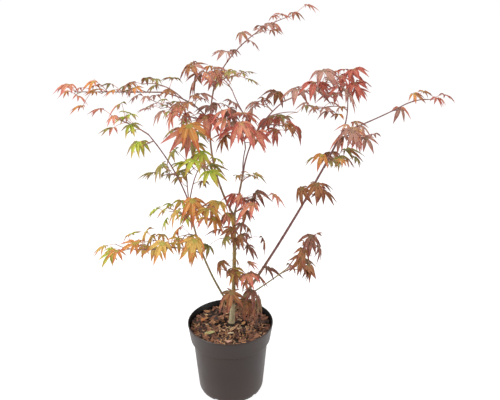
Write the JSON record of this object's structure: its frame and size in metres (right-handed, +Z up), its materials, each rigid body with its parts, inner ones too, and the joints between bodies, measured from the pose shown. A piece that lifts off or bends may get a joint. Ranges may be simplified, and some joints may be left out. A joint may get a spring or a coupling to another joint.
{
  "type": "potted japanese maple",
  "caption": "Young grafted patio tree in a nursery pot, with slender arching boughs and loose sprays of finely cut autumn leaves.",
  "frame": {"origin": "middle of the flat underside of the pot", "axes": "+Z up; +Y away from the viewer of the picture; +X to that viewer's right"},
  "size_m": [0.747, 0.4281, 0.8405],
  "materials": {
    "pot_plastic": "moulded matt polypropylene, dark warm grey",
    "bark_mulch": "rough brown bark chips and fibre over dark potting mix",
    "trunk_bark": "smooth young bark, grey-tan at the foot and olive-brown above",
    "bough_bark": "smooth olive-brown bark with small lenticels and ringed nodes",
    "young_bark": "smooth maroon bark of one-year shoots",
    "leaves_red": "thin satin leaves, crimson to coral",
    "leaves_amber": "thin satin leaves, orange to amber",
    "leaves_green": "thin satin leaves, olive to lime",
    "leaves_bronze": "thin satin leaves, russet to bronze"
  },
  "bodies": {
    "root": {"pot": "pot_plastic", "soil": "bark_mulch", "trunk": "trunk_bark", "leader": "bough_bark", "fork_stem": "bough_bark", "inner_rise": "young_bark", "shoulder_bough": "young_bark", "back_rise": "young_bark", "right_bough": "young_bark", "crest_bough": "young_bark", "far_right_bough": "young_bark", "left_bough": "bough_bark", "left_outer_bough": "young_bark", "arch_bough": "young_bark", "low_left_bough": "young_bark", "low_right_bough": "bough_bark", "top_spray": "leaves_red", "crown_left": "leaves_red", "crown_right": "leaves_green", "arch_spray": "leaves_amber", "arch_shoulder": "leaves_green", "arch_foot": "leaves_red", "high_left": "leaves_green", "heart_left": "leaves_red", "heart_top": "leaves_bronze", "heart_right": "leaves_red", "inner_crown": "leaves_amber", "shoulder_spray": "leaves_red", "shoulder_left": "leaves_bronze", "shoulder_low": "leaves_bronze", "shoulder_far": "leaves_green", "crest": "leaves_red", "crest_left": "leaves_amber", "fork_spray": "leaves_red", "mid_right": "leaves_amber", "mid_left": "leaves_red", "far_right_mid": "leaves_bronze", "far_right_tip": "leaves_red", "low_mid": "leaves_bronze", "low_right_tip": "leaves_bronze", "low_right_mid": "leaves_bronze", "red_right": "leaves_red", "fork_small": "leaves_green", "orange_left": "leaves_amber", "orange_right": "leaves_red", "left_outer_tip": "leaves_amber", "left_outer_mid": "leaves_green", "left_outer_low": "leaves_green", "left_upright": "leaves_green", "left_inner": "leaves_green", "low_left_tip": "leaves_amber", "low_left_mid": "leaves_amber", "trunk_top": "leaves_bronze", "trunk_left": "leaves_bronze", "trunk_right": "leaves_bronze", "low_left_trunk": "leaves_bronze", "low_right_trunk": "leaves_bronze", "base_left": "leaves_bronze", "base_right": "leaves_bronze", "low_left_inner": "leaves_amber"}
  },
  "joints": []
}
